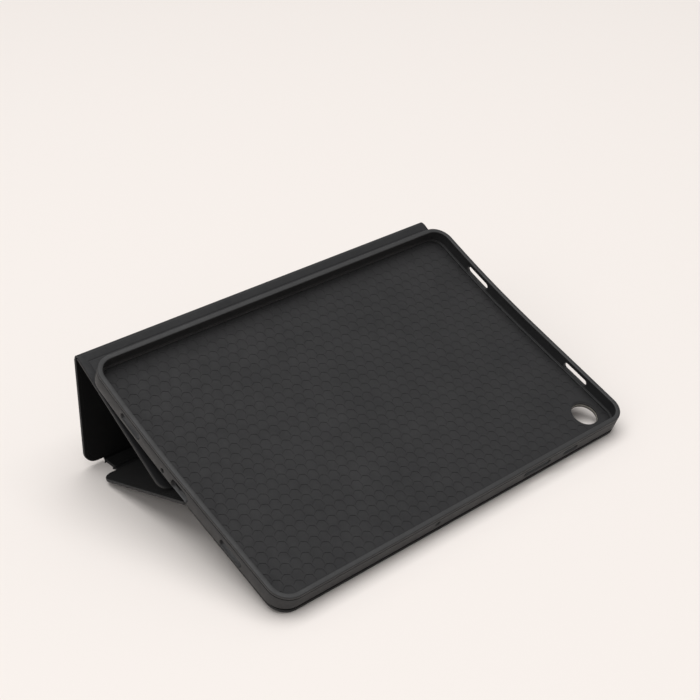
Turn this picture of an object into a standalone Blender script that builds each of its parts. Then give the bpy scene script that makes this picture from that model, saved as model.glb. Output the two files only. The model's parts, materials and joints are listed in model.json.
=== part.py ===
"""Folio case for a tablet, standing as a low stand: a moulded tray glued to a folding cover.

Sections are drawn in millimetres in the YZ plane: y runs back from the front edge, z up,
and x across the long side. world() turns them into metres about the object's own origin.
"""

import math

import bmesh
import bpy
from mathutils import Vector

MM = 0.001

# ---- driving dimensions, in millimetres and degrees ----
TRAY_LENGTH = 262.0          # long side, along X
TRAY_DEPTH = 174.6           # short side, measured along the tray
TRAY_CORNER = 12.0
TRAY_BOTTOM = 2.4            # height of the tray's underside over the back plate's outer face
TRAY_FLOOR = 3.9             # height of the floor that the tablet lies on
TRAY_TOP = 12.9              # height of the rim
WALL = 2.2
LIP = 1.1                    # how far the rim reaches in past the wall
TRAY_TILT = 20.67            # slope of the front part of the tray
BEND_START = 78.0            # behind this line nothing backs the soft tray, and it curls up a little
BEND_RATE = 0.00131          # curvature of that stretch, radians per millimetre

PANEL = 2.2                  # thickness of each board with its two skins
SKIN = 0.7
BOARD = 0.9
GAP = 0.1                    # clearance between laminated layers
HEM = 2.0                    # width of the turned-in edge round each board
AXIS_DEPTH = 0.35            # folds turn inside the outer skin, this deep
SIDE_INSET = 1.0             # the cover is this much shorter than the tray at each end
COVER_HALF = TRAY_LENGTH / 2 - SIDE_INSET

BACK_PLATE_DEPTH = 78.3      # board glued under the tray's front half
MIDDLE_FOLD = 79.5           # fold in the back, along the tray from its front edge
SPINE_FOLD_Y = 159.4         # fold between back flap and spine
COVER_FOLD_Y = 174.4         # fold between spine and cover
SPINE_HALF = 117.5           # the spine is notched at both ends
RIDGE_Y, RIDGE_Z = 170.5, 73.35
FREE_HALF_SLOPE = 33.5
FREE_HALF_LENGTH = 90.0
FOLD_SETBACK = 2.6           # bare skin beside each spine fold
MIDDLE_SETBACK = 1.2
RIDGE_SETBACK = 0.3
RIDGE_CLEARANCE = 0.15       # the ridge turns this far inside the two linings

BIG_CORNER = 8.0             # free corners of the cover
SMALL_CORNER = 1.5           # corners beside a fold

CAMERA_U, CAMERA_V, CAMERA_R = 244.7, 17.0, 8.2
CAMERA_LEAN = 1.0            # how far the hole leans out towards its lower mouth

MAGNET_LENGTH, MAGNET_WIDTH, MAGNET_THICKNESS = 22.0, 6.0, 0.7
MAGNET_PLACES = (-80.0, 0.0, 80.0)
COVER_MAGNET_S = 80.0        # from the ridge, near the free edge
KEEPER_MAGNET_S = 80.0       # from the spine fold, near the middle fold
WAKE_MAGNET_X, WAKE_MAGNET_S, WAKE_MAGNET_R = 112.0, 40.0, 4.0

# ---- places that follow from them ----
TILT = math.radians(TRAY_TILT)
ROUNDED_FRONT_Y = -(TRAY_TOP - 0.6) * math.sin(TILT)
ORIGIN_Y = (ROUNDED_FRONT_Y + COVER_FOLD_Y + AXIS_DEPTH) / 2


def world(x, y, z):
    return Vector((x, y - ORIGIN_Y, z)) * MM


def tray_section(v, w):
    """A point of the tray, v along it from the front edge and w over the back plate, as (y, z)."""
    run = max(v - BEND_START, 0.0)
    turn = BEND_RATE * run
    along = min(v, BEND_START) + math.sin(turn) / BEND_RATE - w * math.sin(turn)
    rise = (1 - math.cos(turn)) / BEND_RATE + w * math.cos(turn)
    return (
        along * math.cos(TILT) - rise * math.sin(TILT),
        along * math.sin(TILT) + rise * math.cos(TILT),
    )


MIDDLE_AXIS = tray_section(MIDDLE_FOLD, AXIS_DEPTH)
SPINE_AXIS = (SPINE_FOLD_Y, AXIS_DEPTH)
COVER_AXIS = (COVER_FOLD_Y, AXIS_DEPTH)
RIDGE_AXIS = (RIDGE_Y, RIDGE_Z)

BACK_FLAP_ANGLE = math.atan2(MIDDLE_AXIS[1] - AXIS_DEPTH, MIDDLE_AXIS[0] - SPINE_FOLD_Y)
BACK_FLAP_LENGTH = math.hypot(MIDDLE_AXIS[0] - SPINE_FOLD_Y, MIDDLE_AXIS[1] - AXIS_DEPTH)

# The ridge axis stands off the cover fold's own line by the panel's inner face and the clearance.
RIDGE_OFFSET = PANEL - AXIS_DEPTH + RIDGE_CLEARANCE
RIDGE_REACH = math.hypot(RIDGE_Y - COVER_FOLD_Y, RIDGE_Z - AXIS_DEPTH)
SPINE_HALF_ANGLE = math.atan2(RIDGE_Z - AXIS_DEPTH, RIDGE_Y - COVER_FOLD_Y) - math.asin(
    RIDGE_OFFSET / RIDGE_REACH
)
SPINE_HALF_LENGTH = math.sqrt(RIDGE_REACH**2 - RIDGE_OFFSET**2)
FREE_HALF_ANGLE = math.pi + math.radians(FREE_HALF_SLOPE)


# ---- materials ----
def material(name, colour, roughness, metallic=0.0):
    made = bpy.data.materials.new(name)
    made.use_nodes = True
    shader = made.node_tree.nodes["Principled BSDF"]
    shader.inputs["Base Color"].default_value = (*colour, 1.0)
    shader.inputs["Roughness"].default_value = roughness
    shader.inputs["Metallic"].default_value = metallic
    return made


def make_materials():
    return {
        "tpu": material("soft_tray", (0.022, 0.022, 0.024), 0.48),
        "skin": material("outer_skin", (0.018, 0.018, 0.019), 0.62),
        "lining": material("microfibre_lining", (0.012, 0.012, 0.013), 0.92),
        "board": material("grey_board", (0.22, 0.21, 0.19), 0.9),
        "adhesive": material("bond_film", (0.5, 0.48, 0.42), 0.5),
        "magnet": material("nickel_magnet", (0.6, 0.6, 0.58), 0.3, 1.0),
    }


# ---- outlines ----
def rounded_rectangle(low, high, radii, inset, segments=6):
    """Corner points, anticlockwise from the low corner. radii: (low, high) for the two Y ends."""
    x0, y0, x1, y1 = low[0] + inset, low[1] + inset, high[0] - inset, high[1] - inset
    r_low, r_high = (max(r - inset, 0.3) for r in radii)
    corners = (
        (x0 + r_low, y0 + r_low, r_low, math.pi),
        (x1 - r_low, y0 + r_low, r_low, 1.5 * math.pi),
        (x1 - r_high, y1 - r_high, r_high, 0.0),
        (x0 + r_high, y1 - r_high, r_high, 0.5 * math.pi),
    )
    points = []
    for cx, cy, r, start in corners:
        for i in range(segments + 1):
            a = start + 0.5 * math.pi * i / segments
            points.append((cx + r * math.cos(a), cy + r * math.sin(a)))
    return points


def stack(low, high, radii, levels, segments=6):
    """A closed solid through outlines at (inset, height) levels, capped at its first and last."""
    bm = bmesh.new()
    loops = []
    for inset, height in levels:
        outline = rounded_rectangle(low, high, radii, inset, segments)
        loops.append([bm.verts.new((x, y, height)) for x, y in outline])
    for lower, upper in zip(loops, loops[1:]):
        count = len(lower)
        for i in range(count):
            j = (i + 1) % count
            bm.faces.new((lower[i], lower[j], upper[j], upper[i]))
    bm.faces.new(loops[0][::-1])
    bm.faces.new(loops[-1])
    bmesh.ops.recalc_face_normals(bm, faces=bm.faces)
    return bm


def prism(outline, start, end):
    """The outline, as 3-D points on its own plane, swept from start to end."""
    bm = bmesh.new()
    first = [bm.verts.new(p + start) for p in outline]
    last = [bm.verts.new(p + end) for p in outline]
    count = len(first)
    for i in range(count):
        j = (i + 1) % count
        bm.faces.new((first[i], first[j], last[j], last[i]))
    bm.faces.new(first[::-1])
    bm.faces.new(last)
    bmesh.ops.recalc_face_normals(bm, faces=bm.faces)
    return bm


def slot_outline(centre, along, across, length, height, steps=8):
    """A slot with round ends about centre, its long way along one vector and its height across."""
    r = height / 2
    half = max(length / 2 - r, 0.0)
    points = []
    for side, start in ((1, -0.5 * math.pi), (-1, 0.5 * math.pi)):
        for i in range(steps + 1):
            a = start + math.pi * i / steps
            points.append(
                centre + along * (side * half + r * math.cos(a)) + across * (r * math.sin(a))
            )
    return points


def cut(bm, cutters):
    """The solid less its cutters, worked by Boolean modifiers while everything is still flat."""
    body_mesh = bpy.data.meshes.new("body")
    bm.to_mesh(body_mesh)
    bm.free()
    body = bpy.data.objects.new("body", body_mesh)
    bpy.context.scene.collection.objects.link(body)
    helpers = []
    for cutter in cutters:
        mesh = bpy.data.meshes.new("cutter")
        cutter.to_mesh(mesh)
        cutter.free()
        helper = bpy.data.objects.new("cutter", mesh)
        helper.hide_render = True
        helper.display_type = "WIRE"
        bpy.context.scene.collection.objects.link(helper)
        helpers.append(helper)
        modifier = body.modifiers.new("cut", "BOOLEAN")
        modifier.operation = "DIFFERENCE"
        modifier.object = helper
    bpy.context.view_layer.update()
    graph = bpy.context.evaluated_depsgraph_get()
    result = bmesh.new()
    result.from_mesh(body.evaluated_get(graph).to_mesh())
    for leftover in [body] + helpers:
        bpy.data.objects.remove(leftover)
    return result


# ---- bodies: one empty on each fold's axis ----
def make_empties():
    axes = {
        "spine": ((COVER_FOLD_Y + SPINE_FOLD_Y) / 2, 0.0),
        "back_flap": SPINE_AXIS,
        "tray": MIDDLE_AXIS,
        "cover_spine_half": COVER_AXIS,
        "cover_free_half": RIDGE_AXIS,
    }
    parents = {
        "back_flap": "spine",
        "tray": "back_flap",
        "cover_spine_half": "spine",
        "cover_free_half": "cover_spine_half",
    }
    empties = {}
    for name, (y, z) in axes.items():
        empty = bpy.data.objects.new("axis_" + name, None)
        empty.empty_display_size = 0.01
        bpy.context.scene.collection.objects.link(empty)
        place = world(0, y, z)
        if name in parents:
            parent, parent_place = empties[parents[name]]
            empty.parent = parent
            empty.location = place - parent_place
        else:
            empty.location = place
        empties[name] = (empty, place)
    return empties


def add_piece(name, bm, place, body, finish, empties):
    """Maps the flat solid into place and hangs it on its body's empty."""
    empty, origin = empties[body]
    bmesh.ops.triangulate(bm, faces=[f for f in bm.faces if len(f.verts) > 4])
    for vert in bm.verts:
        vert.co = place(*vert.co) - origin
    if bm.calc_volume(signed=True) < 0:      # a mirroring place turns the faces round
        bmesh.ops.reverse_faces(bm, faces=bm.faces)
    mesh = bpy.data.meshes.new(name)
    bm.to_mesh(mesh)
    bm.free()
    mesh.shade_smooth()
    mesh.set_sharp_from_angle(angle=math.radians(35))
    mesh.materials.append(finish)
    piece = bpy.data.objects.new(name, mesh)
    piece.parent = empty
    bpy.context.scene.collection.objects.link(piece)


def panel_place(axis, angle, face_depth, side):
    """Maps (x, s, t): s along the panel from its fold, t through it from the outer face."""
    along = (math.cos(angle), math.sin(angle))
    inward = (-side * along[1], side * along[0])

    def place(x, s, t):
        t -= face_depth
        return world(
            x,
            axis[0] + s * along[0] + t * inward[0],
            axis[1] + s * along[1] + t * inward[1],
        )

    return place


def tray_place(x, v, w):
    return world(x, *tray_section(v, w))


# ---- panels ----
SKIN_LEVELS = (
    (0.55, 0.0), (0.16, 0.16), (0.0, 0.55), (0.0, PANEL - 0.55), (0.16, PANEL - 0.16),
    (0.55, PANEL), (HEM, PANEL), (HEM, SKIN),
)
BOARD_LOW = SKIN + GAP
LINING_LOW = BOARD_LOW + BOARD + GAP


def flat_sheet(low, high, radii, bottom, top):
    inset = HEM + GAP
    return stack(low, high, radii, ((inset, bottom), (inset, top)))


def bar_cutter(x, s, length, width):
    outline = [Vector((x + i * length / 2, s + j * width / 2, 0)) for i, j in
               ((-1, -1), (1, -1), (1, 1), (-1, 1))]
    return prism(outline, Vector((0, 0, 0)), Vector((0, 0, 2 * PANEL)))


def disc_outline(x, s, r, steps=24):
    turns = [2 * math.pi * i / steps for i in range(steps)]
    return [Vector((x + r * math.cos(a), s + r * math.sin(a), 0)) for a in turns]


def magnet_bar(x, s):
    low = (x - MAGNET_LENGTH / 2, s - MAGNET_WIDTH / 2)
    high = (x + MAGNET_LENGTH / 2, s + MAGNET_WIDTH / 2)
    return stack(low, high, (0.8, 0.8), ((0, BOARD_LOW + GAP), (0, BOARD_LOW + GAP + MAGNET_THICKNESS)))


def make_panel(name, half_width, span, radii, place, finishes, empties, pockets=()):
    """Outer skin with its turned edge, board and lining of one panel."""
    low, high = (-half_width, span[0]), (half_width, span[1])
    skin = stack(low, high, radii, SKIN_LEVELS)
    board = flat_sheet(low, high, radii, BOARD_LOW, BOARD_LOW + BOARD)
    if pockets:
        board = cut(board, pockets)
    lining = flat_sheet(low, high, radii, LINING_LOW, PANEL)
    add_piece(name + "_skin", skin, place, name, finishes["skin"], empties)
    add_piece(name + "_board", board, place, name, finishes["board"], empties)
    add_piece(name + "_lining", lining, place, name, finishes["lining"], empties)


def make_back_flap(finishes, empties):
    place = panel_place(SPINE_AXIS, BACK_FLAP_ANGLE, AXIS_DEPTH, -1)
    span = (FOLD_SETBACK, BACK_FLAP_LENGTH - MIDDLE_SETBACK)
    pockets = [
        bar_cutter(x, KEEPER_MAGNET_S, MAGNET_LENGTH + 2 * GAP, MAGNET_WIDTH + 2 * GAP)
        for x in MAGNET_PLACES
    ]
    make_panel("back_flap", COVER_HALF, span, (BIG_CORNER, SMALL_CORNER), place,
               finishes, empties, pockets)
    for i, x in enumerate(MAGNET_PLACES):
        add_piece(f"keeper_magnet_{i + 1}", magnet_bar(x, KEEPER_MAGNET_S), place, "back_flap",
                  finishes["magnet"], empties)


def make_spine(finishes, empties):
    place = panel_place(SPINE_AXIS, 0.0, AXIS_DEPTH, 1)
    span = (FOLD_SETBACK, COVER_FOLD_Y - SPINE_FOLD_Y - FOLD_SETBACK)
    make_panel("spine", SPINE_HALF, span, (SMALL_CORNER, SMALL_CORNER), place, finishes, empties)


def make_cover(finishes, empties):
    place = panel_place(COVER_AXIS, SPINE_HALF_ANGLE, AXIS_DEPTH, 1)
    span = (FOLD_SETBACK, SPINE_HALF_LENGTH - RIDGE_SETBACK)
    make_panel("cover_spine_half", COVER_HALF, span, (BIG_CORNER, SMALL_CORNER), place,
               finishes, empties)

    place = panel_place(RIDGE_AXIS, FREE_HALF_ANGLE, PANEL + RIDGE_CLEARANCE, 1)
    span = (RIDGE_SETBACK, FREE_HALF_LENGTH)
    pockets = [
        bar_cutter(x, COVER_MAGNET_S, MAGNET_LENGTH + 2 * GAP, MAGNET_WIDTH + 2 * GAP)
        for x in MAGNET_PLACES
    ]
    disc = disc_outline(WAKE_MAGNET_X, WAKE_MAGNET_S, WAKE_MAGNET_R + GAP)
    pockets.append(prism(disc, Vector((0, 0, 0)), Vector((0, 0, 2 * PANEL))))
    make_panel("cover_free_half", COVER_HALF, span, (SMALL_CORNER, BIG_CORNER), place,
               finishes, empties, pockets)
    for i, x in enumerate(MAGNET_PLACES):
        add_piece(f"cover_magnet_{i + 1}", magnet_bar(x, COVER_MAGNET_S), place,
                  "cover_free_half", finishes["magnet"], empties)
    disc = disc_outline(WAKE_MAGNET_X, WAKE_MAGNET_S, WAKE_MAGNET_R)
    bottom = BOARD_LOW + GAP
    wake = prism(disc, Vector((0, 0, bottom)), Vector((0, 0, bottom + MAGNET_THICKNESS)))
    add_piece("wake_magnet", wake, place, "cover_free_half", finishes["magnet"], empties)


# ---- tray and the plate glued under it ----
def across(u):
    """Distance from the tray's left end, as x."""
    return u - TRAY_LENGTH / 2


def camera_cutter():
    top = Vector((across(CAMERA_U), CAMERA_V, 2 * TRAY_FLOOR))
    bottom = Vector((across(CAMERA_U + 2 * CAMERA_LEAN), CAMERA_V, -TRAY_FLOOR))
    ring = disc_outline(0, 0, CAMERA_R, 32)
    return prism(ring, bottom, top)


# Openings in the two short walls, as (v of the middle, w of the middle, length, height).
LEFT_SLOTS = (
    (41.0, 5.9, 18.0, 3.8),      # loudspeaker
    (85.6, 5.8, 15.0, 5.8),      # charging socket
    (101.0, 5.6, 2.5, 2.5),      # microphone
    (132.0, 7.2, 18.0, 3.8),     # loudspeaker
)
RIGHT_SLOTS = (
    (41.0, 7.6, 19.0, 4.2),
    (131.0, 7.6, 19.0, 4.2),
)
# Openings in the front wall, as (u of the middle, w of the middle, length, height).
FRONT_SLOTS = (
    (107.2, 7.6, 3.2, 2.6),
    (185.0, 7.6, 22.0, 3.4),     # volume buttons
    (213.2, 7.2, 12.0, 3.4),     # power button
)


def wall_cutters():
    reach = 4.0                  # past the wall on both sides
    x_way, v_way, w_way = Vector((1, 0, 0)), Vector((0, 1, 0)), Vector((0, 0, 1))
    cutters = []
    for end, slots in ((-1, LEFT_SLOTS), (1, RIGHT_SLOTS)):
        for v, w, length, height in slots:
            centre = Vector((end * TRAY_LENGTH / 2, v, w))
            outline = slot_outline(centre, v_way, w_way, length, height)
            cutters.append(prism(outline, -reach * x_way, reach * x_way))
    for u, w, length, height in FRONT_SLOTS:
        outline = slot_outline(Vector((across(u), 0, w)), x_way, w_way, length, height)
        cutters.append(prism(outline, -reach * v_way, reach * v_way))
    return cutters


TRAY_LEVELS = (
    (1.6, TRAY_BOTTOM), (0.8, TRAY_BOTTOM + 0.21), (0.21, TRAY_BOTTOM + 0.8), (0.0, TRAY_BOTTOM + 1.6),
    (0.0, 10.7), (0.4, 10.9), (0.4, 11.2), (0.0, 11.4),
    (0.0, TRAY_TOP - 0.6), (0.18, TRAY_TOP - 0.18), (0.6, TRAY_TOP),
    (WALL + LIP - 0.5, TRAY_TOP), (WALL + LIP, TRAY_TOP - 0.5), (WALL + LIP, TRAY_TOP - 1.0),
    (WALL, TRAY_TOP - 1.6), (WALL, TRAY_FLOOR + 1.2), (WALL + 0.9, TRAY_FLOOR + 1.0),
    (WALL + 0.9, TRAY_FLOOR),
)
BEND_STRIPS = 9


def make_tray(finishes, empties):
    low, high = (-TRAY_LENGTH / 2, 0), (TRAY_LENGTH / 2, TRAY_DEPTH)
    shell = stack(low, high, (TRAY_CORNER, TRAY_CORNER), TRAY_LEVELS, segments=8)
    shell = cut(shell, wall_cutters() + [camera_cutter()])
    for i in range(BEND_STRIPS):
        line = BEND_START + (TRAY_DEPTH - BEND_START) * i / BEND_STRIPS
        everything = list(shell.verts) + list(shell.edges) + list(shell.faces)
        bmesh.ops.bisect_plane(shell, geom=everything, plane_co=(0, line, 0), plane_no=(0, 1, 0),
                               dist=1e-4)
    bmesh.ops.triangulate(shell, faces=shell.faces)
    add_piece("tray_shell", shell, tray_place, "tray", finishes["tpu"], empties)


def make_back_plate(finishes, empties):
    low, high = (-COVER_HALF, 0), (COVER_HALF, BACK_PLATE_DEPTH)
    radii = (TRAY_CORNER - SIDE_INSET, SMALL_CORNER)
    skin = cut(stack(low, high, radii, SKIN_LEVELS), [camera_cutter()])
    board = cut(flat_sheet(low, high, radii, BOARD_LOW, BOARD_LOW + BOARD), [camera_cutter()])
    bond = cut(flat_sheet(low, high, radii, LINING_LOW, TRAY_BOTTOM - GAP), [camera_cutter()])
    add_piece("back_plate_skin", skin, tray_place, "tray", finishes["skin"], empties)
    add_piece("back_plate_board", board, tray_place, "tray", finishes["board"], empties)
    add_piece("tray_bond_film", bond, tray_place, "tray", finishes["adhesive"], empties)


def main():
    for leftover in list(bpy.data.objects):
        bpy.data.objects.remove(leftover)
    finishes = make_materials()
    empties = make_empties()
    make_spine(finishes, empties)
    make_back_flap(finishes, empties)
    make_back_plate(finishes, empties)
    make_tray(finishes, empties)
    make_cover(finishes, empties)


main()
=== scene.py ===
"""The looks of a folding tablet case that stands as a low stand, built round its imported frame.

Pieces are drawn flat in millimetres and then mapped into place, in metres, by a place function:
tray_place for the tray and the plate under it, panel_place for each panel of the folio.
"""

import json
import math

import bmesh
import bpy
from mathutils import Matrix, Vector


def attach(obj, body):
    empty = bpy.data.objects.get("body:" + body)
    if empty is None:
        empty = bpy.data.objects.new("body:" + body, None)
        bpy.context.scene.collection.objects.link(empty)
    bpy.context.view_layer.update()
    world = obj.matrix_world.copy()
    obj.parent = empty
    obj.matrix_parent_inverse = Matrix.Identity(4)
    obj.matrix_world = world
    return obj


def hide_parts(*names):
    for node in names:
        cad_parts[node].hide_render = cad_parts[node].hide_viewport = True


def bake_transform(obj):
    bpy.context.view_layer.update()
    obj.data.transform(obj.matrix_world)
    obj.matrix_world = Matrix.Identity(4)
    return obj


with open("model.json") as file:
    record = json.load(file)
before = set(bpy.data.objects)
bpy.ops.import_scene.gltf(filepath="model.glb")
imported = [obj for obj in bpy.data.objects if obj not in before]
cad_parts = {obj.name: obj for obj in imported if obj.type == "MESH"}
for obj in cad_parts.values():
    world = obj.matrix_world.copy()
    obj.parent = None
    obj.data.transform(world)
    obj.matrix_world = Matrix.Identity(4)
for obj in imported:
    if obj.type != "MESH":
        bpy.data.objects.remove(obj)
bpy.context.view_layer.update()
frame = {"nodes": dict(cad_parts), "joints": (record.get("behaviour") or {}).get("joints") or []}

MM = 0.001

# ---- sizes of the case, in millimetres and degrees ----
TRAY_LENGTH, TRAY_DEPTH = 262.0, 174.6
TRAY_CORNER = 12.0
TRAY_BOTTOM, TRAY_FLOOR, TRAY_TOP = 2.4, 3.9, 12.9
WALL, LIP = 2.2, 1.1
TILT = math.radians(20.67)
BEND_START, BEND_RATE = 78.0, 0.00131
MIDDLE_FOLD = 79.5
BACK_PLATE_DEPTH = 78.3
PANEL, SKIN, HEM = 2.2, 0.7, 2.0
AXIS_DEPTH = 0.35
CHAMFER = 0.35               # at the mouths of slots and of the camera hole
COVER_HALF = TRAY_LENGTH / 2 - 1.0
SPINE_HALF = 117.5
FREE_HALF_LENGTH = 90.0
FREE_HALF_ANGLE = math.radians(213.5)
FOLD_SETBACK, MIDDLE_SETBACK, RIDGE_SETBACK = 2.6, 1.2, 0.3
RIDGE_CLEARANCE = 0.15
BIG_CORNER, SMALL_CORNER = 8.0, 1.5
CAMERA_U, CAMERA_V, CAMERA_R, CAMERA_LEAN = 244.7, 17.0, 8.2, 1.0

CAMERA_RECESS = 0.5          # how much wider the hole is above the tray's floor

CELL_PITCH = 6.7             # honeycomb, flat to flat
CELL_WEB = 0.85
CELL_DEPTH = 0.22
CELL_ROUNDING = 1.0
CELL_CHAMFER = 0.12
WEB_INSET = 0.8              # the honeycomb stays this far from the wall
WEB_SINK = 0.2               # and is let into the floor this deep

EDGE_ROUNDING = 0.55         # edges of a wrapped panel
PRESSED_LINE = 4.7           # how far inside the edge the cover is pressed down
BEND_SLICES = 16             # strips that the tray's bent part is divided into


def fold_axis(joint):
    """(y, z) of a fold, in millimetres."""
    place = next(j["pos_m"] for j in frame["joints"] if j["name"] == joint)
    return (place[1] / MM, place[2] / MM)


SPINE_AXIS = fold_axis("flap_fold")
MIDDLE_AXIS = fold_axis("tray_fold")
COVER_AXIS = fold_axis("cover_fold")
RIDGE_AXIS = fold_axis("ridge_fold")


def tray_section(v, w):
    """A point of the tray's section from its front bottom edge: v along it, w over the back plate."""
    turn = BEND_RATE * max(v - BEND_START, 0.0)
    along = min(v, BEND_START) + math.sin(turn) / BEND_RATE - w * math.sin(turn)
    rise = (1 - math.cos(turn)) / BEND_RATE + w * math.cos(turn)
    return (
        along * math.cos(TILT) - rise * math.sin(TILT),
        along * math.sin(TILT) + rise * math.cos(TILT),
    )


FRONT_Y = MIDDLE_AXIS[0] - tray_section(MIDDLE_FOLD, AXIS_DEPTH)[0]


def tray_place(x, v, w):
    y, z = tray_section(v, w)
    return Vector((x, y + FRONT_Y, z)) * MM


def panel_place(axis, angle, face_depth, side):
    """Maps (x, s, t): s along the panel from its fold, t through it from the outer face."""
    along = (math.cos(angle), math.sin(angle))
    inward = (-side * along[1], side * along[0])

    def place(x, s, t):
        t -= face_depth
        return Vector(
            (x, axis[0] + s * along[0] + t * inward[0], axis[1] + s * along[1] + t * inward[1])
        ) * MM

    return place


def between(a, b):
    return math.atan2(b[1] - a[1], b[0] - a[0]), math.hypot(b[0] - a[0], b[1] - a[1])


FLAP_ANGLE, FLAP_LENGTH = between(SPINE_AXIS, MIDDLE_AXIS)
_ridge_angle, _ridge_reach = between(COVER_AXIS, RIDGE_AXIS)
_ridge_offset = PANEL - AXIS_DEPTH + RIDGE_CLEARANCE
SPINE_HALF_ANGLE = _ridge_angle - math.asin(_ridge_offset / _ridge_reach)
SPINE_HALF_LENGTH = math.sqrt(_ridge_reach**2 - _ridge_offset**2)
SPINE_WIDTH = COVER_AXIS[0] - SPINE_AXIS[0]

PLACES = {
    "back_flap": panel_place(SPINE_AXIS, FLAP_ANGLE, AXIS_DEPTH, -1),
    "spine": panel_place(SPINE_AXIS, 0.0, AXIS_DEPTH, 1),
    "cover_spine_half": panel_place(COVER_AXIS, SPINE_HALF_ANGLE, AXIS_DEPTH, 1),
    "cover_free_half": panel_place(RIDGE_AXIS, FREE_HALF_ANGLE, PANEL + RIDGE_CLEARANCE, 1),
    "tray": tray_place,
}


# ---- camera, light and floor ----
def make_camera():
    """A 74 mm lens on a 36 mm frame, looking down at 30 degrees from the front left."""
    pitch, turn = 29.72, 41.61
    data = bpy.data.cameras.new("camera")
    data.sensor_width = 36.0
    data.lens = 73.6
    data.clip_start, data.clip_end = 0.05, 20
    camera = bpy.data.objects.new("camera", data)
    camera.location = Vector((-463.2, -512.7, 460.4)) * MM
    camera.rotation_euler = (math.radians(90 - pitch), 0, math.radians(-turn))
    bpy.context.scene.collection.objects.link(camera)
    bpy.context.scene.camera = camera


def make_area_light(name, place, target, size, power):
    """A rectangular softbox. Place, target and size are in metres, power in watts."""
    data = bpy.data.lights.new(name, "AREA")
    data.shape = "RECTANGLE"
    data.size, data.size_y = size
    data.energy = power
    light = bpy.data.objects.new(name, data)
    light.location = place
    light.rotation_euler = (Vector(target) - Vector(place)).to_track_quat("-Z", "Y").to_euler()
    bpy.context.scene.collection.objects.link(light)


def make_studio():
    """One broad softbox overhead, a weak one at the left, a dim pale room and a pale floor."""
    scene = bpy.context.scene
    scene.view_settings.view_transform = "Standard"
    world = bpy.data.worlds.new("studio")
    world.use_nodes = True
    background = world.node_tree.nodes["Background"]
    background.inputs["Color"].default_value = (1.0, 0.985, 0.97, 1)
    background.inputs["Strength"].default_value = 0.32
    scene.world = world
    target = (0, 0, 0.03)
    make_area_light("top", (0.0, 0.15, 3.4), target, size=(4.4, 4.0), power=122)
    make_area_light("left", (-2.6, -0.6, 1.9), target, size=(1.6, 1.6), power=14)

    half, drop = 6.0, 0.00005
    mesh = bpy.data.meshes.new("floor")
    mesh.from_pydata(
        [(-half, -half, 0), (half, -half, 0), (half, half, 0), (-half, half, 0)], [], [(0, 1, 2, 3)]
    )
    floor = bpy.data.objects.new("floor", mesh)
    floor.location.z = -drop
    scene.collection.objects.link(floor)
    paint = bpy.data.materials.new("floor_paint")
    paint.use_nodes = True
    shader = paint.node_tree.nodes["Principled BSDF"]
    shader.inputs["Base Color"].default_value = (0.86, 0.81, 0.775, 1)
    shader.inputs["Roughness"].default_value = 0.9
    shader.inputs["Specular IOR Level"].default_value = 0.1
    mesh.materials.append(paint)


# ---- materials ----
class Paint:
    """Adds and joins the nodes of one material. Texture scales are per metre."""

    def __init__(self, name):
        self.made = bpy.data.materials.new(name)
        self.made.use_nodes = True
        self.tree = self.made.node_tree
        self.shader = self.tree.nodes["Principled BSDF"]
        self.where = self.node("ShaderNodeTexCoord").outputs["Object"]

    def node(self, kind, **inputs):
        made = self.tree.nodes.new(kind)
        for key, value in inputs.items():
            made.inputs[key.replace("_", " ")].default_value = value
        return made

    def join(self, out, into):
        self.tree.links.new(out, into)

    def noise(self, scale, detail=3.0, roughness=0.5):
        made = self.node("ShaderNodeTexNoise", Scale=scale, Detail=detail, Roughness=roughness)
        self.join(self.where, made.inputs["Vector"])
        return made.outputs["Fac"]

    def cells(self, scale):
        made = self.node("ShaderNodeTexVoronoi", Scale=scale)
        self.join(self.where, made.inputs["Vector"])
        return made.outputs["Distance"]

    def ranged(self, value, low, high, from_low=0.0, from_high=1.0):
        made = self.node("ShaderNodeMapRange")
        for key, number in (
            ("From Min", from_low), ("From Max", from_high), ("To Min", low), ("To Max", high)
        ):
            made.inputs[key].default_value = number
        self.join(value, made.inputs["Value"])
        return made.outputs["Result"]

    def mixed(self, factor, first, second):
        """Blends from first to second. first may be a colour or another node's output."""
        made = self.tree.nodes.new("ShaderNodeMix")
        made.data_type = "RGBA"
        if isinstance(first, tuple):
            made.inputs["A"].default_value = (*first, 1)
        else:
            self.join(first, made.inputs["A"])
        made.inputs["B"].default_value = (*second, 1)
        self.join(factor, made.inputs["Factor"])
        return made.outputs["Result"]

    def bump(self, height, depth_mm, strength=1.0, under=None):
        made = self.node("ShaderNodeBump", Strength=strength, Distance=depth_mm * MM)
        self.join(height, made.inputs["Height"])
        if under is not None:
            self.join(under, made.inputs["Normal"])
        return made.outputs["Normal"]

    def set(self, name, value):
        self.shader.inputs[name].default_value = value


def paint_edge_highlights_and_crease_shade(paint, colour, light, dark):
    """Painted highlights along outer edges and painted shade down in creases, mixed into the colour.

    Each pass measures how enclosed a point is, from inside the solid for its outer edges and from
    outside for its creases, and blends to its tone between the two limits of that measure.
    """
    outer_edges = (True, 0.5, 0.12, 0.5, light)
    creases = (False, 0.8, 0.25, 0.75, dark)
    for inside, reach, least, most, tone in (outer_edges, creases):
        open_share = paint.node("ShaderNodeAmbientOcclusion", Distance=reach * MM)
        open_share.inside = inside
        open_share.only_local = True
        open_share.samples = 6
        factor = paint.ranged(open_share.outputs["AO"], 0.0, 1.0, 1 - least, 1 - most)
        colour = paint.mixed(factor, colour, tone)
    return colour


def scaled(colour, by):
    return tuple(by * c for c in colour)


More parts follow.
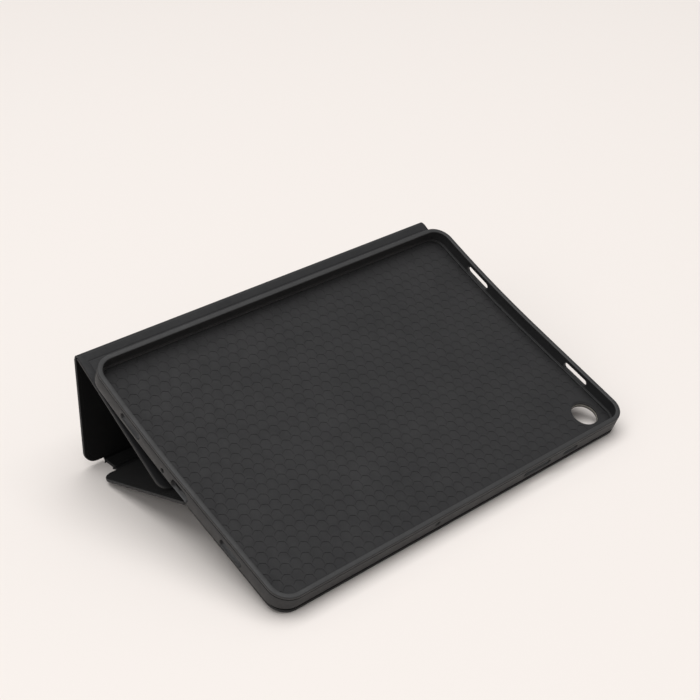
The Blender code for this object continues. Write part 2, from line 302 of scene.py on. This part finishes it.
def soft_plastic(name, low, high, rough, shine, painted_edge_light=True):
    """Moulded soft plastic: a fine spark-eroded texture, faint mottling and a satin sheen."""
    paint = Paint(name)
    mottle = paint.noise(38.0, 4.0, 0.6)
    specks = paint.noise(1500.0, 2.0, 0.6)
    blend = paint.node("ShaderNodeMath")
    blend.operation = "ADD"
    paint.join(paint.ranged(mottle, 0.0, 0.5, 0.35, 0.68), blend.inputs[0])
    paint.join(paint.ranged(specks, 0.0, 0.5, 0.3, 0.7), blend.inputs[1])
    colour = paint.mixed(blend.outputs["Value"], low, high)
    if painted_edge_light:
        # Painted highlights on outer edges and painted shade down in creases.
        colour = paint_edge_highlights_and_crease_shade(paint, colour, scaled(high, 2.3), scaled(low, 0.3))
    paint.join(colour, paint.shader.inputs["Base Color"])
    fine = paint.noise(5200.0, 2.0, 0.55)
    patches = paint.noise(160.0, 3.0, 0.5)
    roughness = paint.ranged(patches, rough - 0.05, rough + 0.07, 0.3, 0.7)
    paint.join(roughness, paint.shader.inputs["Roughness"])
    normal = paint.bump(fine, 0.022, 0.55)
    normal = paint.bump(patches, 0.05, 0.25, normal)
    paint.join(normal, paint.shader.inputs["Normal"])
    paint.set("Specular IOR Level", shine)
    return paint.made


def grained_skin(name, low, high, rough):
    """Coated cover fabric with a fine pebble grain."""
    paint = Paint(name)
    pebbles = paint.cells(1250.0)
    wide = paint.noise(24.0, 4.0, 0.55)
    colour = paint.mixed(paint.ranged(wide, 0, 1, 0.35, 0.7), low, high)
    # Painted highlights on outer edges and painted shade down in creases.
    colour = paint_edge_highlights_and_crease_shade(paint, colour, scaled(high, 2.4), scaled(low, 0.4))
    paint.join(colour, paint.shader.inputs["Base Color"])
    creases = paint.noise(420.0, 5.0, 0.65)
    paint.join(paint.ranged(creases, rough - 0.06, rough + 0.08, 0.3, 0.7),
               paint.shader.inputs["Roughness"])
    normal = paint.bump(pebbles, 0.06, 0.5)
    normal = paint.bump(creases, 0.05, 0.3, normal)
    normal = paint.bump(wide, 0.4, 0.12, normal)
    paint.join(normal, paint.shader.inputs["Normal"])
    paint.set("Specular IOR Level", 0.3)
    return paint.made


def brushed_nap(name, low, high):
    """Microfibre: short nap, brushed one way, with a weak sheen at grazing angles."""
    paint = Paint(name)
    stretch = paint.node("ShaderNodeMapping")
    stretch.inputs["Scale"].default_value = (0.35, 1.0, 1.0)
    paint.join(paint.where, stretch.inputs["Vector"])
    fibres = paint.node("ShaderNodeTexNoise", Scale=2600.0, Detail=3.0, Roughness=0.7)
    paint.join(stretch.outputs["Vector"], fibres.inputs["Vector"])
    strokes = paint.noise(30.0, 3.0, 0.5)
    paint.join(paint.mixed(paint.ranged(strokes, 0, 1, 0.4, 0.62), low, high),
               paint.shader.inputs["Base Color"])
    normal = paint.bump(fibres.outputs["Fac"], 0.06, 0.7)
    paint.join(normal, paint.shader.inputs["Normal"])
    paint.set("Roughness", 0.95)
    paint.set("Specular IOR Level", 0.12)
    paint.set("Sheen Weight", 0.05)
    paint.set("Sheen Roughness", 0.5)
    return paint.made


def fibre_board(name):
    """Grey board with visible fibres."""
    paint = Paint(name)
    flecks = paint.noise(900.0, 4.0, 0.7)
    paint.join(paint.mixed(flecks, (0.16, 0.15, 0.135), (0.27, 0.255, 0.23)),
               paint.shader.inputs["Base Color"])
    paint.join(paint.bump(flecks, 0.05, 0.5), paint.shader.inputs["Normal"])
    paint.set("Roughness", 0.9)
    return paint.made


def cured_adhesive(name):
    """Dull yellowish film, streaked where it was spread."""
    paint = Paint(name)
    streaks = paint.noise(140.0, 3.0, 0.6)
    paint.join(paint.mixed(streaks, (0.4, 0.38, 0.33), (0.55, 0.53, 0.47)),
               paint.shader.inputs["Base Color"])
    paint.join(paint.ranged(streaks, 0.4, 0.6), paint.shader.inputs["Roughness"])
    return paint.made


def plated_steel(name):
    """Bright plating with fine scratches."""
    paint = Paint(name)
    scratches = paint.noise(700.0, 5.0, 0.7)
    paint.join(paint.ranged(scratches, 0.22, 0.4), paint.shader.inputs["Roughness"])
    paint.join(paint.mixed(scratches, (0.55, 0.55, 0.53), (0.66, 0.66, 0.64)),
               paint.shader.inputs["Base Color"])
    paint.set("Metallic", 1.0)
    return paint.made


def make_materials():
    return {
        "tray": soft_plastic("tray_soft_plastic", low=(0.018, 0.018, 0.0187),
                             high=(0.0245, 0.0245, 0.0252), rough=0.5, shine=0.42),
        # The floor and the honeycomb get no painted edge highlights or crease shade.
        "tray_floor": soft_plastic("tray_floor_plastic", low=(0.019, 0.0188, 0.0198),
                                   high=(0.0275, 0.027, 0.028), rough=0.66, shine=0.24, painted_edge_light=False),
        "outer_skin": grained_skin("cover_skin", low=(0.013, 0.013, 0.014),
                                   high=(0.019, 0.019, 0.020), rough=0.58),
        "lining": brushed_nap("cover_lining", low=(0.0035, 0.0035, 0.0036),
                              high=(0.0065, 0.0065, 0.0066)),
        "board": fibre_board("panel_board"),
        "adhesive": cured_adhesive("bond_film"),
        "magnet": plated_steel("magnet_plating"),
    }


# ---- mesh tools ----
def rounded_rectangle(low, high, radii, insets, segments):
    """Outline from the low corner, anticlockwise. insets are for the sides, low end and high end."""
    side, at_low, at_high = insets
    x0, x1 = low[0] + side, high[0] - side
    y0, y1 = low[1] + at_low, high[1] - at_high
    r_low, r_high = (max(r - side, 0.3) for r in radii)
    corners = (
        (x0 + r_low, y0 + r_low, r_low, math.pi),
        (x1 - r_low, y0 + r_low, r_low, 1.5 * math.pi),
        (x1 - r_high, y1 - r_high, r_high, 0.0),
        (x0 + r_high, y1 - r_high, r_high, 0.5 * math.pi),
    )
    points = []
    for cx, cy, r, start in corners:
        for i in range(segments + 1):
            a = start + 0.5 * math.pi * i / segments
            points.append((cx + r * math.cos(a), cy + r * math.sin(a)))
    return points


def bridge(bm, loops):
    """Joins each loop of corners to the next with four-sided faces."""
    for lower, upper in zip(loops, loops[1:]):
        count = len(lower)
        for i in range(count):
            j = (i + 1) % count
            bm.faces.new((lower[i], lower[j], upper[j], upper[i]))


def add_prism(bm, rings):
    """Adds a closed solid through rings of points, each the same count."""
    loops = [[bm.verts.new(p) for p in points] for points in rings]
    bridge(bm, loops)
    bm.faces.new(loops[0][::-1])
    bm.faces.new(loops[-1])


def prism(rings):
    bm = bmesh.new()
    add_prism(bm, rings)
    bmesh.ops.recalc_face_normals(bm, faces=bm.faces)
    return bm


def stack(low, high, radii, levels, segments=10):
    """A closed solid through outlines at (insets, height) levels, capped at its first and last."""
    rings = []
    for insets, height in levels:
        if not isinstance(insets, tuple):
            insets = (insets, insets, insets)
        outline = rounded_rectangle(low, high, radii, insets, segments)
        rings.append([(x, y, height) for x, y in outline])
    return prism(rings)


def temporary(bm, name):
    """An object that holds the solid while it is cut."""
    mesh = bpy.data.meshes.new(name)
    bm.to_mesh(mesh)
    bm.free()
    made = bpy.data.objects.new(name, mesh)
    bpy.context.scene.collection.objects.link(made)
    return made


def cut(bm, cutters, solver="EXACT"):
    """The flat solid less its cutters."""
    body = temporary(bm, "uncut")
    helpers = [temporary(cutter, "cutter") for cutter in cutters]
    for helper in helpers:
        modifier = body.modifiers.new("cut", "BOOLEAN")
        modifier.operation = "DIFFERENCE"
        modifier.solver = solver
        modifier.object = helper
    bpy.context.view_layer.update()
    graph = bpy.context.evaluated_depsgraph_get()
    result = bmesh.new()
    result.from_mesh(body.evaluated_get(graph).to_mesh())
    for leftover in [body] + helpers:
        mesh = leftover.data
        bpy.data.objects.remove(leftover)
        bpy.data.meshes.remove(mesh)
    return result


def slice_along(bm, lines):
    """Adds edges across the flat solid at these distances from its front, so that it can bend."""
    for line in lines:
        everything = list(bm.verts) + list(bm.edges) + list(bm.faces)
        bmesh.ops.bisect_plane(bm, geom=everything, plane_co=(0, line, 0), plane_no=(0, 1, 0),
                               dist=1e-4)


def make_piece(name, bm, place, finish, sharp=32, inner_finish=None, is_inner=None):
    """The solid in its place. Faces whose corners' heights all pass is_inner take inner_finish."""
    bmesh.ops.triangulate(bm, faces=[f for f in bm.faces if len(f.verts) > 4])
    if inner_finish is not None:
        for face in bm.faces:
            if all(is_inner(vert.co.z) for vert in face.verts):
                face.material_index = 1
    for vert in bm.verts:
        vert.co = place(*vert.co)
    if bm.calc_volume(signed=True) < 0:
        bmesh.ops.reverse_faces(bm, faces=bm.faces)
    mesh = bpy.data.meshes.new(name)
    bm.to_mesh(mesh)
    bm.free()
    mesh.shade_smooth()
    mesh.set_sharp_from_angle(angle=math.radians(sharp))
    mesh.materials.append(finish)
    if inner_finish is not None:
        mesh.materials.append(inner_finish)
    piece = bpy.data.objects.new(name, mesh)
    bpy.context.scene.collection.objects.link(piece)
    return piece


def arc(r, start, end, steps):
    """Points of an arc about the origin, from start to end in degrees."""
    turns = [math.radians(start + (end - start) * i / steps) for i in range(steps + 1)]
    return [(r * math.cos(turn), r * math.sin(turn)) for turn in turns]


def rounded_edge(r, turns):
    """(inset, drop) along a rounded edge: 90 degrees is on its top, 0 on its side."""
    return [
        (r - r * math.cos(math.radians(turn)), r - r * math.sin(math.radians(turn)))
        for turn in turns
    ]


# ---- tray ----
BEND_LINES = [
    BEND_START + (TRAY_DEPTH - BEND_START) * i / BEND_SLICES for i in range(BEND_SLICES)
]


def across(u):
    """x of a point at u from the tray's left end."""
    return u - TRAY_LENGTH / 2


def ring(cx, cy, w, r, steps=48):
    """A circle of points at height w."""
    turns = [2 * math.pi * i / steps for i in range(steps)]
    return [Vector((cx + r * math.cos(a), cy + r * math.sin(a), w)) for a in turns]


def camera_centre(w):
    """x of the leaning camera hole at height w."""
    top = 2 * TRAY_FLOOR
    return across(CAMERA_U) + 2 * CAMERA_LEAN * (top - w) / (top + TRAY_FLOOR)


def camera_cutter():
    """The camera hole, with a small chamfer at the tray's floor and at the plate's outer face."""
    below, above = -TRAY_FLOOR, 2 * TRAY_FLOOR
    wide = CAMERA_R + CAMERA_RECESS
    heights = (
        (below, CAMERA_R + CHAMFER - below), (0.0, CAMERA_R + CHAMFER), (CHAMFER, CAMERA_R),
        (TRAY_FLOOR - 0.1, CAMERA_R), (TRAY_FLOOR - 0.1 + CAMERA_RECESS, wide), (above, wide),
    )
    return prism([ring(camera_centre(w), CAMERA_V, w, r) for w, r in heights])


# The crease that runs round the wall, as (height over its middle, depth).
CREASE_HEIGHT = 10.95
CREASE = ((-0.5, 0.0), (-0.3, 0.12), (-0.15, 0.75), (0.15, 0.75), (0.3, 0.12), (0.5, 0.0))
# The low step where the wall meets the floor, as (height over the floor, distance from the wall).
FLOOR_STEP = ((1.35, 0.0), (1.15, 0.15), (1.0, 0.9), (0.85, 1.05), (0.0, 1.05))
# Openings in the two short walls, as (v of the middle, w of the middle, length, height).
LEFT_SLOTS = (
    (41.0, 5.9, 18.0, 3.8), (85.6, 5.8, 15.0, 5.8), (101.0, 5.6, 2.5, 2.5), (132.0, 7.2, 18.0, 3.8)
)
RIGHT_SLOTS = ((41.0, 7.6, 19.0, 4.2), (131.0, 7.6, 19.0, 4.2))
# Openings in the front wall, as (u of the middle, w of the middle, length, height).
FRONT_SLOTS = ((107.2, 7.6, 3.2, 2.6), (185.0, 7.6, 22.0, 3.4), (213.2, 7.2, 12.0, 3.4))


def slot_ring(centre, along, length, height, grow, steps=8):
    """A slot's outline round its centre, with round ends, made bigger by grow all round."""
    up = Vector((0, 0, 1))
    r = height / 2
    half = max(length / 2 - r, 0.0)
    points = []
    for side, start in ((1, -90), (-1, 90)):
        for a, b in arc(r + grow, start, start + 180, steps):
            points.append(centre + along * (side * half + a) + up * b)
    return points


def slot_cutter(centre, along, outward, length, height):
    """Cuts a slot through a wall whose outer face holds centre, chamfered on the outside."""
    past_inside, past_outside = 1.5, 1.0
    steps = (
        (-WALL - past_inside, 0.0), (-CHAMFER, 0.0), (0.0, CHAMFER),
        (past_outside, CHAMFER + past_outside),
    )
    return prism(
        [slot_ring(centre + outward * out, along, length, height, grow) for out, grow in steps]
    )


def wall_cutters():
    """One cutter for each opening in the short walls and the front wall."""
    x_way, v_way = Vector((1, 0, 0)), Vector((0, 1, 0))
    cutters = []
    for end, slots in ((-1, LEFT_SLOTS), (1, RIGHT_SLOTS)):
        for v, w, length, height in slots:
            centre = Vector((end * TRAY_LENGTH / 2, v, w))
            cutters.append(slot_cutter(centre, v_way, end * x_way, length, height))
    for u, w, length, height in FRONT_SLOTS:
        cutters.append(slot_cutter(Vector((across(u), 0, w)), x_way, -v_way, length, height))
    return cutters


def tray_levels():
    """The wall's section as (inset, height), from the underside round the outside to the floor."""
    bottom_r, outer_r, inner_r = 1.6, 0.6, 0.45
    lip_end = WALL + LIP - 0.4
    levels = [(inset, TRAY_BOTTOM + drop)
              for inset, drop in rounded_edge(bottom_r, (90, 72, 54, 36, 18, 0))]
    levels += [(depth, CREASE_HEIGHT + rise) for rise, depth in CREASE]
    levels += [(inset, TRAY_TOP - drop)
               for inset, drop in rounded_edge(outer_r, (0, 22, 45, 68, 90))]
    levels += [(lip_end - inset, TRAY_TOP - drop)
               for inset, drop in rounded_edge(inner_r, (90, 60, 30, 0))]
    levels += [(lip_end, TRAY_TOP - 0.9), (lip_end - 0.3, TRAY_TOP - 1.2), (WALL, TRAY_TOP - 1.8)]
    levels += [(WALL + out, TRAY_FLOOR + rise) for rise, out in FLOOR_STEP]
    return levels


def make_tray(finishes):
    """The tray's floor, wall and rim as one moulding, with its openings."""
    low, high = (-TRAY_LENGTH / 2, 0), (TRAY_LENGTH / 2, TRAY_DEPTH)
    shell = stack(low, high, (TRAY_CORNER, TRAY_CORNER), tray_levels(), segments=16)
    shell = cut(shell, wall_cutters() + [camera_cutter()])
    slice_along(shell, BEND_LINES)
    piece = make_piece("tray_body", shell, tray_place, finishes["tray"],
                       inner_finish=finishes["tray_floor"],
                       is_inner=lambda w: abs(w - TRAY_FLOOR) < 0.02)
    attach(piece, "tray")
    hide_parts("tray_shell")


def cell_ring(cx, cy, w, apothem, corner):
    """A hexagon with two sides along v and rounded corners."""
    points = []
    reach = (apothem - corner) / math.cos(math.radians(30))
    for k in range(6):
        middle = 90 + 60 * k
        hx = cx + reach * math.cos(math.radians(middle))
        hy = cy + reach * math.sin(math.radians(middle))
        for a, b in arc(corner, middle - 30, middle + 30, 2):
            points.append(Vector((hx + a, hy + b, w)))
    return points


def cell_centres(low, high):
    """Centres of the cells, in rows along the long side. The web's edge cuts the outermost ones."""
    past_edge = 1.5
    row_pitch = CELL_PITCH * math.sqrt(3) / 2
    rows = int((high[1] - low[1]) / row_pitch)
    first = (low[1] + high[1] - rows * row_pitch) / 2
    reach = int((high[0] - low[0]) / CELL_PITCH / 2) + 1
    for row in range(rows + 1):
        for i in range(-reach, reach + 1):
            x = (i + 0.5 * (row % 2)) * CELL_PITCH
            if abs(x) < high[0] + past_edge:
                yield x, first + row * row_pitch


def make_honeycomb(finishes):
    """The web that stands on the tray's floor between its hexagonal cells."""
    inset = WALL + WEB_INSET
    low, high = (-TRAY_LENGTH / 2 + inset, inset), (TRAY_LENGTH / 2 - inset, TRAY_DEPTH - inset)
    corner = TRAY_CORNER - inset
    top, bottom = TRAY_FLOOR + CELL_DEPTH, TRAY_FLOOR - WEB_SINK
    web = stack(low, high, (corner, corner), ((0, bottom), (0, top)))
    apothem = (CELL_PITCH - CELL_WEB) / 2
    levels = (
        (bottom - 0.2, apothem), (top - CELL_CHAMFER, apothem), (top, apothem + CELL_CHAMFER),
        (top + CELL_CHAMFER, apothem + 2 * CELL_CHAMFER),
    )
    hole_r = CAMERA_R + 0.9
    nearest_cell = CAMERA_R + 3.6
    camera_x = camera_centre(TRAY_FLOOR)
    cells = bmesh.new()
    for x, v in cell_centres(low, high):
        if math.hypot(x - camera_x, v - CAMERA_V) >= nearest_cell:
            add_prism(cells, [cell_ring(x, v, w, r, CELL_ROUNDING) for w, r in levels])
    bmesh.ops.recalc_face_normals(cells, faces=cells.faces)
    hole = prism([ring(camera_x, CAMERA_V, w, hole_r) for w in (bottom - 1, top + 1)])
    web = cut(web, [cells, hole], solver="MANIFOLD")
    slice_along(web, BEND_LINES)
    piece = make_piece("tray_honeycomb", web, tray_place, finishes["tray_floor"], sharp=25)
    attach(piece, "tray")


# ---- folio panels ----
# The pressed line's groove, as (distance from its middle, depth).
GROOVE = ((0.6, 0.0), (0.35, 0.03), (0.1, 0.17), (-0.1, 0.17), (-0.35, 0.03), (-0.6, 0.0))


def wrap_levels(fold_low, fold_high):
    """Section of a wrapped panel: pressed line, rounded edge, turned hem, recess for the lining.

    Where the panel's low or high end is a fold, that end is rounded only a quarter as far.
    """
    def at(inset, t):
        low = 0.25 * inset if fold_low and inset < HEM / 2 else inset
        high = 0.25 * inset if fold_high and inset < HEM / 2 else inset
        return ((inset, low, high), t)

    edge = rounded_edge(EDGE_ROUNDING, (90, 68, 45, 22, 0))
    levels = [at(PRESSED_LINE + d, depth) for d, depth in GROOVE]
    levels += [at(inset, drop) for inset, drop in edge]
    levels += [at(inset, PANEL - drop) for inset, drop in edge[::-1]]
    levels += [at(HEM - 0.1, PANEL), at(HEM, PANEL - 0.08), at(HEM, SKIN)]
    return levels


def on_inner_face(t):
    return t > PANEL - 0.2


def finish_wrap(wrap, body, node, finishes):
    """Puts a wrapped panel in its place, in the stead of the CAD skin of that name."""
    piece = make_piece(node.replace("_skin", "_wrap"), wrap, PLACES[body], finishes["outer_skin"],
                       inner_finish=finishes["lining"], is_inner=on_inner_face)
    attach(piece, body)
    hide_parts(node)


def make_wrap(body, node, span, radii, folds, finishes, cutters=()):
    """A panel of the cover's full width. radii and folds are for its low and its high end."""
    low, high = (-COVER_HALF, span[0]), (COVER_HALF, span[1])
    wrap = stack(low, high, radii, wrap_levels(*folds))
    if cutters:
        wrap = cut(wrap, cutters)
    finish_wrap(wrap, body, node, finishes)


def make_spine(finishes):
    """The spine: too narrow for a pressed line, so its outer face is plain."""
    low, high = (-SPINE_HALF, FOLD_SETBACK), (SPINE_HALF, SPINE_WIDTH - FOLD_SETBACK)
    levels = [(insets, t) for insets, t in wrap_levels(True, True) if insets[0] <= HEM]
    wrap = stack(low, high, (SMALL_CORNER, SMALL_CORNER), levels, segments=8)
    finish_wrap(wrap, "spine", "spine_skin", finishes)


def make_panels(finishes):
    make_wrap("back_flap", "back_flap_skin", (FOLD_SETBACK, FLAP_LENGTH - MIDDLE_SETBACK),
              (BIG_CORNER, SMALL_CORNER), (True, True), finishes)
    make_wrap("cover_spine_half", "cover_spine_half_skin",
              (FOLD_SETBACK, SPINE_HALF_LENGTH - RIDGE_SETBACK),
              (BIG_CORNER, SMALL_CORNER), (True, True), finishes)
    make_wrap("cover_free_half", "cover_free_half_skin", (RIDGE_SETBACK, FREE_HALF_LENGTH),
              (SMALL_CORNER, BIG_CORNER), (True, False), finishes)
    make_wrap("tray", "back_plate_skin", (0, BACK_PLATE_DEPTH),
              (TRAY_CORNER - 1, SMALL_CORNER), (False, True), finishes, [camera_cutter()])
    make_spine(finishes)


# ---- bending strips at the folds ----
STRIP = 1.1                  # thickness of skin and lining where no board stiffens them
TUCK = 0.8                   # how far each strip runs in between a panel's layers
STRIP_SINK = 0.06            # how far its outer face lies under the panels' outer faces
SPINE_FLARE = 1.2            # how much a strip beside the notched spine widens to each end


def bezier(p0, p1, p2, p3, steps):
    """Points along a cubic curve from p0 to p3."""
    points = []
    for i in range(steps + 1):
        t = i / steps
        points.append(
            (1 - t) ** 3 * p0 + 3 * (1 - t) ** 2 * t * p1 + 3 * (1 - t) * t**2 * p2 + t**3 * p3
        )
    return points


def make_strip(name, first, second, half_width, finishes, flare=0.0, steps=14):
    """Skin bent round a fold. first and second are (body, s at the panel's edge, way along s)."""
    ends = []
    for body, s, way in (first, second):
        place = PLACES[body]
        edge = place(0, s - way * TUCK, STRIP_SINK) / MM
        ahead = place(0, s - way * TUCK + way, STRIP_SINK) / MM
        inner = place(0, s - way * TUCK, STRIP) / MM
        ends.append((edge, ahead - edge, (inner - edge).normalized()))
    (start, way_in, inward), (end, way_back, _) = ends
    turn = way_in.angle(-way_back)
    chord = (end - start).length
    if turn > 0.02:
        handle = 4 / 3 * math.tan(turn / 4) * chord / (2 * math.sin(turn / 2))
    else:
        handle = chord / 3
    line = bezier(start, start + handle * way_in, end + handle * way_back, end, steps)
    x_way = Vector((1, 0, 0))
    side = 1 if x_way.cross(way_in).dot(inward) > 0 else -1
    bm = bmesh.new()
    loops = []
    for i, point in enumerate(line):
        ahead = line[min(i + 1, steps)] - line[max(i - 1, 0)]
        if i == 0:
            ahead = way_in
        if i == steps:
            ahead = -way_back
        normal = side * x_way.cross(ahead).normalized()
        half = (half_width + flare * (2 * abs(i / steps - 0.5)) ** 3) * x_way
        inner = point + normal * (STRIP - STRIP_SINK)
        corners = (point - half, point + half, inner + half, inner - half)
        loops.append([bm.verts.new(corner) for corner in corners])
    bridge(bm, loops)
    inner_verts = {vert for loop in loops for vert in loop[2:]}
    for face in bm.faces:
        face.material_index = int(all(vert in inner_verts for vert in face.verts))
    bm.faces.new(loops[0][::-1])
    bm.faces.new(loops[-1])
    bmesh.ops.recalc_face_normals(bm, faces=bm.faces)
    piece = make_piece(name, bm, lambda x, y, z: Vector((x, y, z)) * MM, finishes["outer_skin"])
    piece.data.materials.append(finishes["lining"])
    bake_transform(piece)


def make_strips(finishes):
    """The four folds. Each strip is a little narrower than the panels that it joins."""
    make_strip("middle_fold_strip", ("back_flap", FLAP_LENGTH - MIDDLE_SETBACK, 1),
               ("tray", BACK_PLATE_DEPTH, 1), COVER_HALF - 0.6, finishes)
    make_strip("flap_fold_strip", ("spine", FOLD_SETBACK, -1), ("back_flap", FOLD_SETBACK, -1),
               SPINE_HALF - 0.2, finishes, flare=SPINE_FLARE)
    make_strip("cover_fold_strip", ("spine", SPINE_WIDTH - FOLD_SETBACK, 1),
               ("cover_spine_half", FOLD_SETBACK, -1), SPINE_HALF - 0.2, finishes, flare=SPINE_FLARE)
    make_strip("ridge_fold_strip", ("cover_spine_half", SPINE_HALF_LENGTH - RIDGE_SETBACK, 1),
               ("cover_free_half", RIDGE_SETBACK, -1), COVER_HALF - 0.5, finishes, steps=20)


# ---- CAD nodes ----
def finish_nodes(finishes):
    """Finishes for the linings, boards, film and magnets, which keep their own shape."""
    ends = {"_lining": "lining", "_board": "board", "_film": "adhesive"}
    for name, node in frame["nodes"].items():
        if "magnet" in name:
            finish = finishes["magnet"]
        else:
            finish = next((finishes[kind] for end, kind in ends.items() if name.endswith(end)),
                          finishes["outer_skin"])
        for slot in node.material_slots:
            slot.material = finish


make_camera()
make_studio()
finishes = make_materials()
make_tray(finishes)
make_honeycomb(finishes)
make_panels(finishes)
make_strips(finishes)
finish_nodes(finishes)
